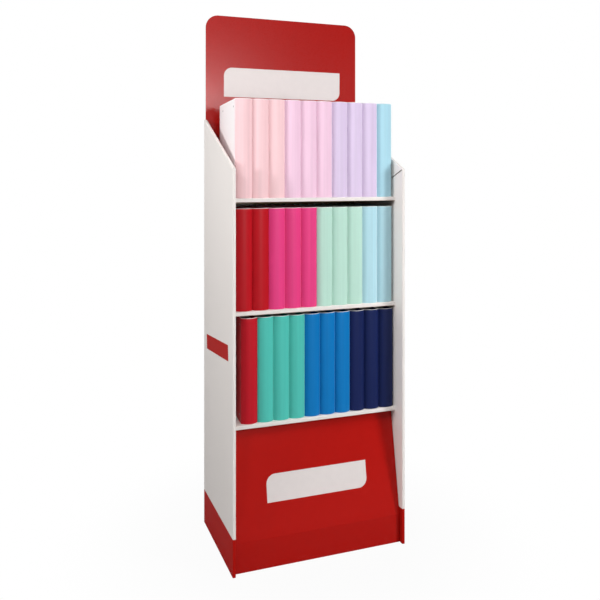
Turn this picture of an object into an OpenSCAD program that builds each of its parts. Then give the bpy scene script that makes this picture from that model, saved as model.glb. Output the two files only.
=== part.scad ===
// Floor display stand of folded board, stocked with three rows of ring binders.
// The origin is the middle of the footprint, on the floor.
// X runs across the stand, the open front faces -Y, and Z is up.

/* [Board] */
// Thickness of the corrugated board
board_t = 3; // [2:0.5:4]
// Outer radius of a fold in the board
fold_r = 2.5; // [1:0.5:3]
// Clearance of a board edge in a slot or beside another board
fit_gap = 0.3; // [0.1:0.1:0.6]

/* [Shelves] */
// Clear width between the liners of the two sides
shelf_w = 580; // [480:5:700]
// Height of the lowest deck above the floor
first_deck_h = 448; // [360:1:600]
// Free height between the tallest binder and the lip above it
head_room = 9; // [2:1:40]
// Height of the folded front lip
lip_h = 13; // [12:1:30]
// Depth of the hollow roll behind the front lip
roll_d = 34; // [20:1:60]
// Distance from the front of the sides back to the lip
shelf_setback = 52; // [20:1:90]
// Width of each tab that hooks into a side
tab_w = 60; // [30:5:90]
// Free space left between the end of a tab and the outer wall
tab_end_gap = 1.5; // [0.5:0.5:1.8]
// Relief beside each tab, where the flange beside it is cut away
tab_relief = 4; // [2:1:10]

/* [Sides] */
// Width of the folded front edge, over both walls of a side
side_fold_w = 10; // [9:0.5:20]
// Rise of a side above the top deck, at the front
side_front_rise = 95; // [40:5:160]
// Rise of a side above the top deck, at the back
side_back_rise = 273; // [180:5:360]
// Width of the flap folded in along the sloping top edge
top_flap_w = 55; // [30:1:80]
// Distance from the front corner back to the point of the mitre
mitre_run = 73; // [40:1:110]
// Gap between the liner and the top flap
mitre_gap = 3.5; // [1:0.5:8]

/* [Header] */
// Gap between the header card and each outer wall
header_side_gap = 2; // [0.5:0.5:4]
// Rise of the header above the back of the sides
header_rise = 378; // [200:5:500]
// Radius of the header's top corners
header_r = 46; // [10:1:100]
// Width of each tongue that goes down behind the top deck
tongue_w = 110; // [60:5:160]
// Length of each tongue
tongue_l = 60; // [30:5:120]
// Distance from the header's side edge in to a tongue
tongue_in = 70; // [20:5:100]

/* [Base] */
// Distance from the front of the sides back to the foot of the panel
foot_setback = 18; // [4:1:30]
// Height at which the panel starts to lean back
foot_h = 94; // [60:1:160]
// Distance from the lip of the lowest shelf back to the panel's top edge
panel_top_in = 28; // [12:1:60]
// Depth of the flange under the lowest shelf
panel_flange_d = 60; // [45:1:100]
// Depth of the returns beside the liners
panel_return_d = 42; // [25:1:60]
// Gap between the panel and each liner
panel_gap = 1.5; // [0.5:0.5:4]
// Height of the hook that holds a return to its side
hook_h = 46; // [20:1:54]
// Distance from the front of the sides back to the cross divider
cross_divider_d = 232; // [190:1:280]
// Distance from the middle to each lengthwise divider
long_divider_x = 98; // [60:1:160]

/* [Binders] */
// Depth of a binder's boards behind its spine
binder_d = 275; // [200:1:300]
// Thickness of a binder's covers
cover_t = 2.4; // [2:0.1:3]
// Bulge of the round spine in front of its edges
spine_crown = 12; // [6:0.5:18]
// Lean of each cover towards the other one
cover_taper = 4; // [0:0.5:5]
// Width of the crease on each side of the spine
crease_w = 4; // [2:0.5:6]
// Depth of that crease
crease_depth = 0.8; // [0.3:0.1:1.2]
// Gap between binders that stand side by side
binder_gap = 0.4; // [0.3:0.1:2]
// Gap between the last binder of the bottom row and the right liner
bottom_end_gap = 0.5; // [0.5:0.5:10]
// Gap between the last binder of the middle row and the right liner
middle_end_gap = 5; // [0.5:0.5:10]
// Gap between the last binder of the top row and the right liner
top_end_gap = 6; // [0.5:0.5:10]
// Distance from the shelf's lip back to the spines
spine_setback = 5; // [4:1:30]
// Free depth behind the binders
rear_room = 42; // [10:1:80]
// Height of the binders in the bottom row
bottom_binder_h = 339; // [280:1:345]
// Spine width of the binders in the bottom row
narrow_spine_w = 54; // [50:0.5:58]
// Height of the binders in the middle row
middle_binder_h = 329; // [280:1:345]
// Height of the binders in the top row
top_binder_h = 320; // [280:1:345]
// Spine width of the binders in the other two rows
wide_spine_w = 55.4; // [50:0.1:57]

/* [Ring mechanism] */
// Length of the base plate past its rivets, at each end
plate_end = 8; // [5:0.5:14]
// Width of the base plate
plate_w = 24; // [16:1:28]
// Thickness of the base plate
plate_t = 1.2; // [0.8:0.1:2]
// Number of rings
ring_count = 4; // [2:1:4]
// Distance between rings
ring_pitch = 80; // [60:1:80]
// Outer diameter of a ring
ring_d = 40; // [30:0.5:42]
// Thickness of a ring's wire
ring_wire = 3; // [2:0.5:4]
// Distance from the spine's edge back to the middle of the plate
plate_set = 26; // [24:1:34]
// Length of the thumb lever at each end
lever_l = 16; // [8:1:20]
// Thickness of a thumb lever
lever_t = 1.5; // [1:0.5:3]
// Diameter of a rivet's head
rivet_head_d = 7; // [5:0.5:9]
// Height of a rivet's head
rivet_head_h = 1; // [0.4:0.1:1.2]
// Diameter of a rivet's shank
rivet_d = 3.6; // [3:0.1:4.5]
// Clearance around a rivet's shank
rivet_gap = 0.2; // [0.1:0.05:0.3]
// Distance from a binder's top or bottom edge to its rivets
rivet_inset = 24; // [20:1:40]
// Distance from the fore edge to the rear pair of rivets
rear_rivet_in = 62; // [40:1:90]

/* [Hidden] */
ROW_NAMES = ["bottom", "middle", "top"];
ROWS = [0, 1, 2];
row_binder_h = [bottom_binder_h, middle_binder_h, top_binder_h];
row_spine_w = [narrow_spine_w, wide_spine_w, wide_spine_w];
row_end_gap = [bottom_end_gap, middle_end_gap, top_end_gap];

inner_x = shelf_w / 2;
stand_w = shelf_w + 2 * side_fold_w;
tab_reach = side_fold_w - 2 * board_t - tab_end_gap;
header_w = stand_w - 2 * board_t - 2 * header_side_gap;
tongue_x = header_w / 2 - tongue_in - tongue_w / 2;
corner_d = shelf_setback + spine_setback + spine_crown;
stand_d = corner_d + binder_d + rear_room + 2 * board_t;
header_front_d = stand_d - 2 * board_t;
liner_d = header_front_d - fit_gap;
deck_back_d = stand_d - board_t - fit_gap;

tallest_binder = max(row_binder_h);
shelf_pitch = tallest_binder + head_room + lip_h;
deck_h = [for (r = ROWS) first_deck_h + r * shelf_pitch];
side_front_h = deck_h[2] + side_front_rise;
side_back_h = deck_h[2] + side_back_rise;
header_top_h = side_back_h + header_rise;

slope = (side_back_h - side_front_h) / header_front_d;
slope_angle = atan(slope);
slope_run = header_front_d / cos(slope_angle);
flap_drop = top_flap_w / cos(slope_angle);
mitre_drop = flap_drop - slope * mitre_run;
mitre_angle = atan(mitre_drop / mitre_run);

tab_ds = [shelf_setback + roll_d + tab_w, deck_back_d - 1.5 * tab_w];
under_deck_h = first_deck_h - board_t;
panel_top_h = first_deck_h - lip_h;
panel_top_d = shelf_setback + panel_top_in;
lean_angle = atan((panel_top_d - foot_setback) / (panel_top_h - foot_h));
hook_d = foot_setback + panel_return_d;
hook_z = (foot_h - hook_h) / 2;

// Binder spines: how many fit in a row, and where the row starts
function binder_pitch(r) = row_spine_w[r] + binder_gap;
function binder_count(r) = floor((shelf_w - 2 * row_end_gap[r] + binder_gap) / binder_pitch(r));
function binder_x(r, i) = inner_x - row_end_gap[r] - row_spine_w[r] - (binder_count(r) - i) * binder_pitch(r);
spine_radius = [for (r = ROWS) (pow(row_spine_w[r] / 2, 2) + pow(spine_crown, 2)) / (2 * spine_crown)];

// A distance back from the front of the sides, as a Y position
function fy(d) = d - stand_d / 2;
// Height of the sloping top edge at a distance back from the front
function slope_h(d) = side_front_h + slope * d;
// Distance back to a face parallel to the base panel and off behind it, at a height on the lean
function lean_d(z, off) = foot_setback + (z - foot_h) * tan(lean_angle) + off / cos(lean_angle);
// Height of that face's bend
function bend_h(off) = foot_h - off * tan(lean_angle / 2);

ROUND_FN = 48;
SPINE_FN = 96;
RING_FN = 8;
RIVET_FN = 8;
EPS = 0.01;
FAR = 2000;

PRINT_WHITE = "#dedcd9";
PRINT_RED = "#b4281e";
RAW_BOARD = "#c9a77c";
// Cover colours and how many binders side by side have each, row by row
BINDER_COLOURS = [
    [["#bf1d2f", 1], ["#5ac0b8", 3], ["#1e78be", 3], ["#212d56", 3]],
    [["#c6202a", 2], ["#e44b87", 3], ["#b9dccb", 3], ["#bce2ee", 2]],
    [["#fad7dc", 3], ["#f8d2eb", 3], ["#e1d2eb", 3], ["#bde4f2", 1]]
];
row_colours = [for (row = BINDER_COLOURS) [for (c = row) for (k = [1:c[1]]) c[0]]];
function binder_colour(r, i) = row_colours[r][(i - 1) % len(row_colours[r])];

function binder_node(r, i) = str("binder_", ROW_NAMES[r], i < 10 ? "_0" : "_", i);
BINDER_NODES = [for (r = ROWS) for (i = [1:binder_count(r)]) binder_node(r, i)];

// A board of thickness t in the plane of a side; its outline is in Y and Z
module side_board(x, t = board_t) {
    translate([x, 0, 0]) rotate([90, 0, 90]) linear_extrude(t) children();
}

// A board of thickness t that faces the front at distance d; its outline is in X and Z
module front_board(d, t = board_t) {
    translate([0, fy(d) + t, 0]) rotate([90, 0, 0]) linear_extrude(t) children();
}

// Rectangle with round corners
module round_rect(x0, y0, x1, y1, r) {
    translate([x0 + r, y0]) square([x1 - x0 - 2 * r, y1 - y0]);
    translate([x0, y0 + r]) square([x1 - x0, y1 - y0 - 2 * r]);
    for (x = [x0 + r, x1 - r], y = [y0 + r, y1 - r]) {
        translate([x, y]) circle(r, $fn = ROUND_FN);
    }
}

// What a fold takes off a sharp corner at the origin, with the board towards +X and +Y
module corner_waste() {
    difference() {
        translate([-1, -1]) square(fold_r + 1);
        translate([fold_r, fold_r]) circle(fold_r, $fn = ROUND_FN);
    }
}

// Plan of the outer walls: both sides, the back and the two folded front edges
module wall_plan() {
    difference() {
        round_rect(-stand_w / 2, fy(0), stand_w / 2, fy(stand_d), fold_r);
        translate([-stand_w / 2 + board_t, fy(board_t)])
            square([stand_w - 2 * board_t, stand_d - 2 * board_t]);
        translate([-inner_x, fy(-1)]) square([2 * inner_x, board_t + 2]);
        for (side = [0, 1]) {
            mirror([side, 0]) translate([-inner_x, fy(0)]) mirror([1, 0]) corner_waste();
        }
    }
}

// Outline of a whole side, with its sloping top edge
module side_outline() {
    polygon([
        [fy(0), 0],
        [fy(stand_d), 0],
        [fy(stand_d), side_back_h],
        [fy(header_front_d), side_back_h],
        [fy(0), side_front_h]
    ]);
}

// Strip of board that closes the double wall along the sloping top edge
module top_edge_outline() {
    drop = board_t / cos(slope_angle);
    polygon([
        [fy(board_t - EPS), slope_h(board_t) - drop],
        [fy(liner_d), slope_h(liner_d) - drop],
        [fy(liner_d), slope_h(liner_d)],
        [fy(board_t - EPS), slope_h(board_t)]
    ]);
}

// Flap that hangs inside the sloping top edge, mitred at the front corner
module top_flap_outline() {
    polygon([
        [fy(board_t), slope_h(board_t)],
        [fy(board_t), side_front_h - tan(mitre_angle) * board_t],
        [fy(mitre_run), side_front_h - mitre_drop],
        [fy(liner_d), slope_h(liner_d) - flap_drop],
        [fy(liner_d), slope_h(liner_d)]
    ]);
}

// Liner folded in from the front edge, with its slots for the shelves and the base panel
module liner_outline() {
    front_gap = mitre_gap / cos(mitre_angle);
    slope_gap = mitre_gap / cos(slope_angle);
    v_run = mitre_run + (front_gap - slope_gap) / (tan(mitre_angle) + slope);
    difference() {
        polygon([
            [fy(0), 0],
            [fy(liner_d), 0],
            [fy(liner_d), slope_h(liner_d) - flap_drop - slope_gap],
            [fy(v_run), side_front_h - tan(mitre_angle) * v_run - front_gap],
            [fy(0), side_front_h - front_gap]
        ]);
        for (r = ROWS, d = tab_ds) {
            translate([fy(d - tab_w / 2 - fit_gap), deck_h[r] - board_t])
                square([tab_w + 2 * fit_gap, board_t + fit_gap]);
        }
        translate([fy(hook_d - board_t - fit_gap), hook_z - fit_gap])
            square([board_t + 2 * fit_gap, hook_h + 2 * fit_gap]);
    }
}

// Takes the sharp corners off the folds along the sloping top edge
module slope_waste() {
    translate([-stand_w / 2, fy(0), side_front_h]) rotate([slope_angle, 0, 0]) {
        for (x = [0, side_fold_w]) {
            translate([x, slope_run, 0]) rotate([90, 0, 0]) linear_extrude(slope_run + fold_r)
                mirror([x / side_fold_w, 0]) mirror([0, 1]) corner_waste();
        }
    }
}

// One board folded into both double-walled sides and the back
module body_wrap() {
    color(PRINT_WHITE) {
        difference() {
            union() {
                intersection() {
                    linear_extrude(side_back_h) wall_plan();
                    side_board(-stand_w / 2 - 1, stand_w + 2) side_outline();
                }
                for (side = [0, 1]) {
                    mirror([side, 0, 0]) {
                        side_board(-stand_w / 2 + board_t - EPS, side_fold_w - board_t + EPS)
                            top_edge_outline();
                        side_board(-inner_x - board_t) top_flap_outline();
                        intersection() {
                            side_board(-inner_x - board_t) liner_outline();
                            linear_extrude(FAR) difference() {
                                translate([-stand_w / 2, fy(0)]) square([side_fold_w, stand_d]);
                                translate([-inner_x, fy(0)]) mirror([1, 0]) corner_waste();
                            }
                        }
                    }
                }
            }
            for (side = [0, 1]) {
                mirror([side, 0, 0]) slope_waste();
            }
        }
    }
}

// Outline of the header, with two tongues below its shoulders
module header_outline() {
    translate([-header_w / 2, deck_h[2]])
        square([header_w, header_top_h - deck_h[2] - header_r]);
    translate([-header_w / 2 + header_r, deck_h[2]])
        square([header_w - 2 * header_r, header_top_h - deck_h[2]]);
    for (side = [-1, 1]) {
        translate([side * (header_w / 2 - header_r), header_top_h - header_r])
            circle(header_r, $fn = SPINE_FN);
        translate([side * tongue_x - tongue_w / 2, deck_h[2] - tongue_l])
            square([tongue_w, tongue_l + EPS]);
    }
}

// Header card, held between the back panel and the liners
module header_card() {
    color(PRINT_RED) front_board(header_front_d) header_outline();
}

// Section of a shelf from front to back: hollow front roll, deck and back flange
module shelf_section(z) {
    difference() {
        round_rect(fy(shelf_setback), z - lip_h, fy(shelf_setback + roll_d), z, fold_r);
        translate([fy(shelf_setback + board_t), z - lip_h + board_t])
            square([roll_d - 2 * board_t, lip_h - 2 * board_t]);
    }
    translate([fy(shelf_setback + board_t), z - board_t])
        square([deck_back_d - shelf_setback - board_t, board_t]);
    translate([fy(deck_back_d - board_t), z - lip_h]) square([board_t, lip_h]);
}

// One shelf: deck, front roll, three flanges, and tabs that hook into the sides
module shelf(r) {
    z = deck_h[r];
    half_w = inner_x - fit_gap;
    color(PRINT_WHITE) difference() {
        union() {
            side_board(-half_w, 2 * half_w) shelf_section(z);
            for (side = [0, 1]) {
                mirror([side, 0, 0]) {
                    side_board(-half_w)
                        translate([fy(shelf_setback + roll_d - EPS), z - lip_h])
                            square([deck_back_d - shelf_setback - roll_d, lip_h]);
                }
            }
        }
        for (side = [0, 1], d = tab_ds) {
            mirror([side, 0, 0])
                translate([-half_w - 1, fy(d - tab_w / 2 - tab_relief), z - lip_h - 1])
                    cube([board_t + 1 + tab_relief, tab_w + 2 * tab_relief, lip_h + 1 - board_t]);
        }
        if (r == 2) {
            for (side = [-1, 1]) {
                translate([
                    side * tongue_x - tongue_w / 2 - fit_gap,
                    fy(header_front_d - fit_gap),
                    z - lip_h - 1
                ])
                    cube([tongue_w + 2 * fit_gap, board_t + 2 * fit_gap, lip_h + 2]);
            }
        }
    }
    color(PRINT_WHITE) shelf_tabs(z);
}

// Tabs of a shelf; each lies on the lower edge of its slot
module shelf_tabs(z) {
    for (side = [0, 1], d = tab_ds) {
        mirror([side, 0, 0])
            translate([-inner_x - board_t - tab_reach, fy(d - tab_w / 2), z - board_t])
                cube([tab_reach + board_t + fit_gap + EPS, tab_w, board_t]);
    }
}

// Section of the base panel: upright foot, leaning face and top flange
module panel_section() {
    under_h = panel_top_h - board_t;
    polygon([
        [fy(foot_setback), 0],
        [fy(foot_setback + board_t), 0],
        [fy(foot_setback + board_t), bend_h(board_t)],
        [fy(lean_d(under_h, board_t)), under_h],
        [fy(panel_top_d + panel_flange_d), under_h],
        [fy(panel_top_d + panel_flange_d), panel_top_h],
        [fy(panel_top_d), panel_top_h],
        [fy(foot_setback), foot_h]
    ]);
}

// Return beside a liner; its back edge runs parallel to the panel
module return_outline() {
    under_h = panel_top_h - board_t;
    polygon([
        [fy(foot_setback), 0],
        [fy(hook_d), 0],
        [fy(hook_d), foot_h],
        [fy(lean_d(under_h, 0) + panel_return_d), under_h],
        [fy(lean_d(under_h, 0)), under_h],
        [fy(foot_setback), foot_h]
    ]);
}

// Printed panel that closes the base under the lowest shelf
module base_panel() {
    half_w = inner_x - panel_gap;
    color(PRINT_RED) {
        side_board(-half_w, 2 * half_w) panel_section();
        for (side = [0, 1]) {
            mirror([side, 0, 0]) {
                side_board(-half_w) return_outline();
                translate([-inner_x - board_t - tab_reach, fy(hook_d - board_t), hook_z])
                    cube([tab_reach + board_t + panel_gap + EPS, board_t, hook_h]);
            }
        }
    }
}

// Slot for a divider that crosses at the middle of its height
module lap_slot(pos, from_top) {
    half_h = under_deck_h / 2;
    translate([pos - board_t / 2 - fit_gap, from_top ? half_h : -1])
        square([board_t + 2 * fit_gap, half_h + 1]);
}

// Divider across the base; it stands on the floor and carries the lowest deck
module base_divider_cross() {
    half_w = inner_x - 2 * fit_gap;
    notch = board_t + fit_gap;
    color(RAW_BOARD) front_board(cross_divider_d - board_t / 2) difference() {
        translate([-half_w, 0]) square([2 * half_w, under_deck_h]);
        for (side = [0, 1]) {
            mirror([side, 0]) translate([-half_w - 1, panel_top_h - fit_gap])
                square([notch + 1, lip_h + 1]);
        }
        for (side = [-1, 1]) {
            lap_slot(side * long_divider_x, false);
        }
    }
}

// Divider from front to back, cut to the lean of the base panel
module base_divider_long(x) {
    off = board_t + fit_gap;
    flange_end_d = panel_top_d + panel_flange_d + fit_gap;
    step_h = panel_top_h - off;
    notch_d = deck_back_d - off;
    color(RAW_BOARD) side_board(x - board_t / 2) difference() {
        polygon([
            [fy(foot_setback + off), 0],
            [fy(deck_back_d), 0],
            [fy(deck_back_d), panel_top_h - fit_gap],
            [fy(notch_d), panel_top_h - fit_gap],
            [fy(notch_d), under_deck_h],
            [fy(flange_end_d), under_deck_h],
            [fy(flange_end_d), step_h],
            [fy(lean_d(step_h, off)), step_h],
            [fy(foot_setback + off), bend_h(off)]
        ]);
        lap_slot(fy(cross_divider_d), true);
    }
}

// Puts its children on a binder's left cover, back from the spine's edge and out from the face
module on_left_cover(back, out) {
    rotate([0, 0, -cover_taper]) translate([-out, back, 0]) children();
}

// Plan of a binder filled out to a wall's depth inside its face, spine edge at the origin
module binder_plan(r, inset) {
    w = row_spine_w[r];
    side = inset / cos(cover_taper);
    lean = tan(cover_taper);
    depth = binder_d * cos(cover_taper) + (inset > 0 ? 1 : 0);
    intersection() {
        polygon([
            [side, -spine_crown - 1],
            [w - side, -spine_crown - 1],
            [w - side, 0],
            [w - side - lean * depth, depth],
            [side + lean * depth, depth],
            [side, 0]
        ]);
        union() {
            translate([w / 2, spine_radius[r] - spine_crown])
                circle(spine_radius[r] - inset, $fn = SPINE_FN);
            square([w, binder_d + 1]);
        }
    }
}

// Plan of a binder's cover: one board bent round the spine, creased on both sides of it
module cover_plan(r) {
    groove_r = (pow(crease_w / 2, 2) + pow(crease_depth, 2)) / (2 * crease_depth);
    difference() {
        binder_plan(r, 0);
        binder_plan(r, cover_t);
        for (side = [0, 1]) {
            translate([side * row_spine_w[r], 0]) mirror([side, 0]) rotate(-cover_taper)
                translate([crease_depth - groove_r, crease_w]) circle(groove_r, $fn = ROUND_FN);
        }
    }
}

// Places a binder's parts at its own spot in its row
module at_binder(r, i) {
    translate([binder_x(r, i), fy(corner_d), deck_h[r]]) children();
}

// Where a row's rivets go: distance back from the spine and height, on each binder
function rivet_places(r) = [
    for (back = r == 2 ? [plate_set, binder_d - rear_rivet_in] : [plate_set])
        for (z = [rivet_inset, row_binder_h[r] - rivet_inset]) [back, z]
];

// Cover of one binder: two boards and a round spine, open at the top, bottom and back
module binder(r, i) {
    color(binder_colour(r, i)) at_binder(r, i) difference() {
        linear_extrude(row_binder_h[r]) cover_plan(r);
        for (p = rivet_places(r)) {
            on_left_cover(p[0], 1) translate([0, 0, p[1]]) rotate([0, 90, 0])
                cylinder(d = rivet_d + 2 * rivet_gap, h = cover_t + 2, $fn = RIVET_FN);
        }
    }
}

// Base plate with its rings and a thumb lever at each end, on the left cover's inner face
module ring_mechanism(r) {
    h = row_binder_h[r];
    plate_z = rivet_inset - plate_end;
    plate_l = h - 2 * plate_z;
    rings_z = (h - (ring_count - 1) * ring_pitch - ring_wire) / 2;
    ring_flat = ring_d / 2 * cos(180 / RING_FN);
    on_left_cover(plate_set, -cover_t) difference() {
        union() {
            translate([0, -plate_w / 2, plate_z]) cube([plate_t, plate_w, plate_l]);
            for (k = [0:ring_count - 1]) {
                translate([ring_flat, 0, rings_z + k * ring_pitch]) linear_extrude(ring_wire)
                    rotate(180 / RING_FN) difference() {
                        circle(d = ring_d, $fn = RING_FN);
                        circle(d = ring_d - 2 * ring_wire, $fn = RING_FN);
                    }
            }
            for (z = [plate_z, plate_z + plate_l - lever_t]) {
                translate([0, -plate_w / 4, z]) cube([lever_l, plate_w / 2, lever_t]);
            }
        }
        for (z = [rivet_inset, h - rivet_inset]) {
            translate([-1, 0, z]) rotate([0, 90, 0])
                cylinder(d = rivet_d + 2 * rivet_gap, h = plate_t + 2, $fn = RIVET_FN);
        }
    }
}

module ring_mechanisms(r) {
    color("#c3c5c8") for (i = [1:binder_count(r)]) {
        at_binder(r, i) ring_mechanism(r);
    }
}

// Rivets of a whole row, each with its head on the outside of the left cover
module rivets(r) {
    color("#a9a9ab") for (i = [1:binder_count(r)], p = rivet_places(r)) {
        through = p[0] == plate_set ? cover_t + plate_t : cover_t;
        at_binder(r, i) on_left_cover(p[0], rivet_head_h) translate([0, 0, p[1]]) rotate([0, 90, 0]) {
            cylinder(d = rivet_head_d, h = rivet_head_h, $fn = RIVET_FN);
            cylinder(d = rivet_d, h = rivet_head_h + through, $fn = RIVET_FN);
        }
    }
}

body_wrap();
header_card();
base_panel();
base_divider_cross();
base_divider_long(-long_divider_x);  // base_divider_left
base_divider_long(long_divider_x);  // base_divider_right
for (r = ROWS) {
    shelf(r);
    for (i = [1:binder_count(r)]) {
        binder(r, i);
    }
    ring_mechanisms(r);
    rivets(r);
}
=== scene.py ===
"""Looks of a floor display stand of printed board, stocked with three rows of ring binders.

The packed solids are the frame. Board pieces keep their solids and get their print here. The
binders' covers, ring mechanisms and rivets are modelled again with their soft edges, and the bare
plates and the side label are added. All lengths are in metres.
"""

import math

import bmesh
import bpy
from bpy.props import FloatProperty, FloatVectorProperty, IntProperty, PointerProperty
from mathutils import Matrix, Vector


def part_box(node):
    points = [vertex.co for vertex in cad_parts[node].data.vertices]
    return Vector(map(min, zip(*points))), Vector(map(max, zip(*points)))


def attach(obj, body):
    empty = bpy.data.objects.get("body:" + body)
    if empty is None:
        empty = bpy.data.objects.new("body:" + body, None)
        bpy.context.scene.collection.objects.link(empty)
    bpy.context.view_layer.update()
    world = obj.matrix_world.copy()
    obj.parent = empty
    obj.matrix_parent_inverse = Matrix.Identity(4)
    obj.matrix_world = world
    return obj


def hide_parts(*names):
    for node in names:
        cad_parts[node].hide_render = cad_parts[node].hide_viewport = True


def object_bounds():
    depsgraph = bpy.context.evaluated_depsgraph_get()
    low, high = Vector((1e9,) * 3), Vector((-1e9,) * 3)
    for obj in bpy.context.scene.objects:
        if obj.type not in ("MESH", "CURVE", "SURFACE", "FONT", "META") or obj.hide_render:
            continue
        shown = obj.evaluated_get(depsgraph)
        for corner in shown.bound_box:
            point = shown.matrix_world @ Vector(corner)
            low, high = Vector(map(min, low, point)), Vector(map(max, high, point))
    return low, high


bl_info = {
    "name": "Floor display stand",
    "version": (1, 0, 0),
    "blender": (4, 5, 0),
    "location": "3D View > Sidebar > Stand",
    "description": "Prints and dresses a folded-board display stand and its ring binders",
    "category": "Object",
}

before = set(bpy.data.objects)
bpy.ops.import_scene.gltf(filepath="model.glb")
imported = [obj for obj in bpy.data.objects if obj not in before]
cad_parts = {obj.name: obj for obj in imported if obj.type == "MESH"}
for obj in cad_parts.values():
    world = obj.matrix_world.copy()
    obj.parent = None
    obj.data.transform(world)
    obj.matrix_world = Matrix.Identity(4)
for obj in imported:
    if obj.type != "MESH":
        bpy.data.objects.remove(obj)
CAD_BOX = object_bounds()

# Sizes that the frame's boxes don't give, as the solids have them
FRONT_Y, BACK_Y = CAD_BOX[0].y, CAD_BOX[1].y
BOARD_T = 0.003
LINER_X = 0.290
SIDE_FRONT_H, SIDE_BACK_H, SLOPE_RUN = 1.265, 1.443, 0.386
SLOPE = (SIDE_BACK_H - SIDE_FRONT_H) / SLOPE_RUN
FOOT_BACK, FOOT_H = 0.018, 0.094
PANEL_TOP_BACK, PANEL_TOP_H = 0.080, 0.435
PANEL_LEAN = math.atan((PANEL_TOP_BACK - FOOT_BACK) / (PANEL_TOP_H - FOOT_H))
COVER_T = 0.0024
COVER_DEPTH = 0.275
COVER_TAPER = math.radians(4)
SPINE_CROWN = 0.012
CREASE_W, CREASE_DEPTH = 0.004, 0.0008
PLATE_SET = 0.026
PLATE_END, PLATE_W, PLATE_T = 0.008, 0.024, 0.0012
RING_COUNT, RING_PITCH, RING_D, RING_WIRE = 4, 0.080, 0.040, 0.003
LEVER_L, LEVER_T = 0.016, 0.0015
RIVET_HEAD_D, RIVET_HEAD_H, RIVET_D = 0.007, 0.001, 0.0036
RIVET_INSET, REAR_RIVET_BACK = 0.024, 0.213
# The solids' rings have eight sides and lie on a flat one, so their middle stands this far off
RING_OUT = RING_D / 2 * math.cos(math.pi / 8)

# Finer sizes, which only the looks have
PLATE_SHEET = 0.0008
RING_GAP = math.radians(0.3)
LEVER_R = 0.003
RIVET_DOME_H = 0.00085
LINING_T = 0.0002
LABEL_BACK, LABEL_TILT = 0.202, math.radians(-4.7)
FLOOR_GAP = 0.0003
SHARP_ANGLE, RIM_ANGLE = math.radians(40), math.radians(70)
MERGE_DISTANCE = 0.000001

# Facets of the round forms
RIM_STEPS, LIP_STEPS, CORNER_STEPS = 3, 3, 4
ARCH_STEPS, WIRE_SIDES, LEVER_STEPS = 10, 10, 5
DOME_STEPS, RIVET_SIDES = 6, 20
CARD_STEPS, FLOOR_SIDES = 8, 96

# Lamps, named as their powers in the settings: size, place and the point that each faces
LAMPS = {
    "key": ((0.8, 1.2), (2.0, -2.4, 1.5), (0, 0, 0.85)),
    "near": ((0.35, 0.35), (-1.8, -1.7, 2.5), (0, 0, 1.1)),
    "gloss": ((0.6, 0.8), (0.3, -3.2, 1.5), (0, 0, 1.5)),
    "side": ((0.4, 0.4), (-1.9, -0.45, 1.7), (0, 0, 1.1)),
    "top": ((1.4, 1.4), (-0.6, -2.9, 5.0), (0, 0, 0.6)),
    "back": ((2.0, 1.6), (0.6, 3.6, 1.4), (0, 0, 0.9)),
}
CAMERA_PLACE, CAMERA_TURN = (-0.8896, -2.3543, 1.2446), math.radians(-20.59)
LENS, LENS_SHIFT = 43.32, -0.2082

# Covers of each row from the left: material slot and how many binders have it
ROWS = {
    "bottom": [("cover_red", 1), ("cover_teal", 3), ("cover_blue", 3), ("cover_navy", 3)],
    "middle": [("cover_crimson", 2), ("cover_magenta", 3), ("cover_mint", 3), ("cover_sky", 2)],
    "top": [("cover_salmon", 3), ("cover_pink", 3), ("cover_lilac", 3), ("cover_aqua", 1)],
}


def ink(red, green, blue):
    """A colour given as it looks on a screen, 0 to 255, as Blender's linear values."""
    levels = [c / 255 for c in (red, green, blue)]
    return [c / 12.92 if c <= 0.04045 else ((c + 0.055) / 1.055) ** 2.4 for c in levels]


def colour_property(name, description, default):
    return FloatVectorProperty(
        name=name, description=description, default=default, subtype="COLOR", min=0, max=1
    )


def length_property(name, description, default):
    return FloatProperty(
        name=name, description=description, default=default, unit="LENGTH", precision=4
    )


def power_property(name, description, default):
    return FloatProperty(name=name, description=description, default=default, unit="POWER")


class BoardSettings(bpy.types.PropertyGroup):
    """Print and board of the display itself"""

    white: colour_property("White print", "Coated white of body and shelves", ink(231, 225, 221))
    red: colour_property("Red print", "Red of header, base panel and band", ink(174, 19, 13))
    kraft: colour_property("Raw board", "Brown of bare and cut board", ink(168, 132, 96))
    plate: colour_property("Plate", "Off-white of the bare plates", ink(222, 214, 212))
    band_h: length_property("Band height", "Height of the red band round the foot", 0.118)
    flute_pitch: length_property("Flute pitch", "Distance between the board's flutes", 0.0065)
    header_plate_w: length_property("Header plate width", "Width of the header's plate", 0.456)
    header_plate_h: length_property("Header plate height", "Height of the header's plate", 0.106)
    header_plate_z: length_property("Header plate middle", "Height of that plate's middle", 1.582)
    base_plate_w: length_property("Base plate width", "Width of the base panel's plate", 0.352)
    base_plate_h: length_property("Base plate height", "Height of that plate on the lean", 0.086)
    base_plate_z: length_property("Base plate middle", "Height of that plate's middle", 0.239)
    label_w: length_property("Label width", "Width of the red label on the left side", 0.292)
    label_h: length_property("Label height", "Height of that label", 0.051)
    label_z: length_property("Label middle", "Height of that label's middle", 0.6695)
    plate_r: length_property("Plate corner", "Radius of a plate's two round corners", 0.030)
    label_r: length_property("Label corner", "Radius of the label's corners", 0.002)
    print_t: length_property("Print thickness", "How far a plate stands proud", 0.0002)


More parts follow.
